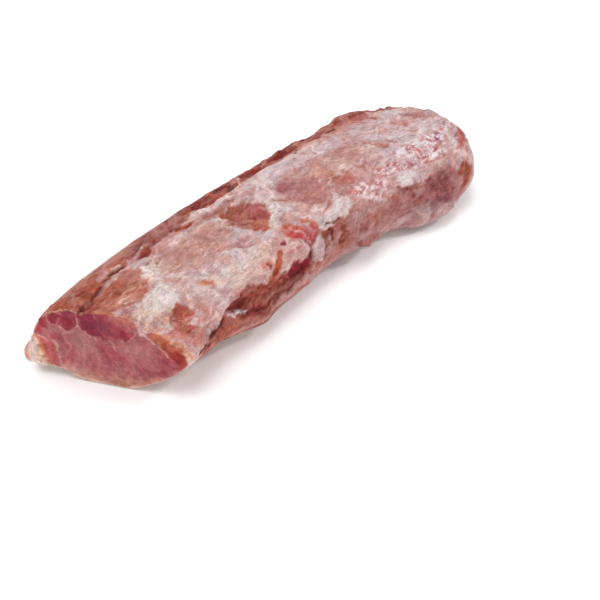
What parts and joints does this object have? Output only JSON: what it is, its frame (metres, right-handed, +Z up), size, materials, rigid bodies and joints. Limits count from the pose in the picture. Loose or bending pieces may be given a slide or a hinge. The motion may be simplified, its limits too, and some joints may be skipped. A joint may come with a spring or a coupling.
{
  "type": "frozen pork loin",
  "caption": "Boneless raw pork loin, a long bowed log of meat with ragged fat on top, cut flat and slanting at one end and rounded at the other.",
  "frame": {"origin": "on the ground under the middle of the loin's box", "axes": "+X along the loin from its cut end to its rounded end, +Z up, rib side up"},
  "size_m": [0.4676, 0.1484, 0.0819],
  "materials": {
    "pork": null
  },
  "bodies": {
    "root": {"pork_loin": "pork"}
  },
  "joints": []
}
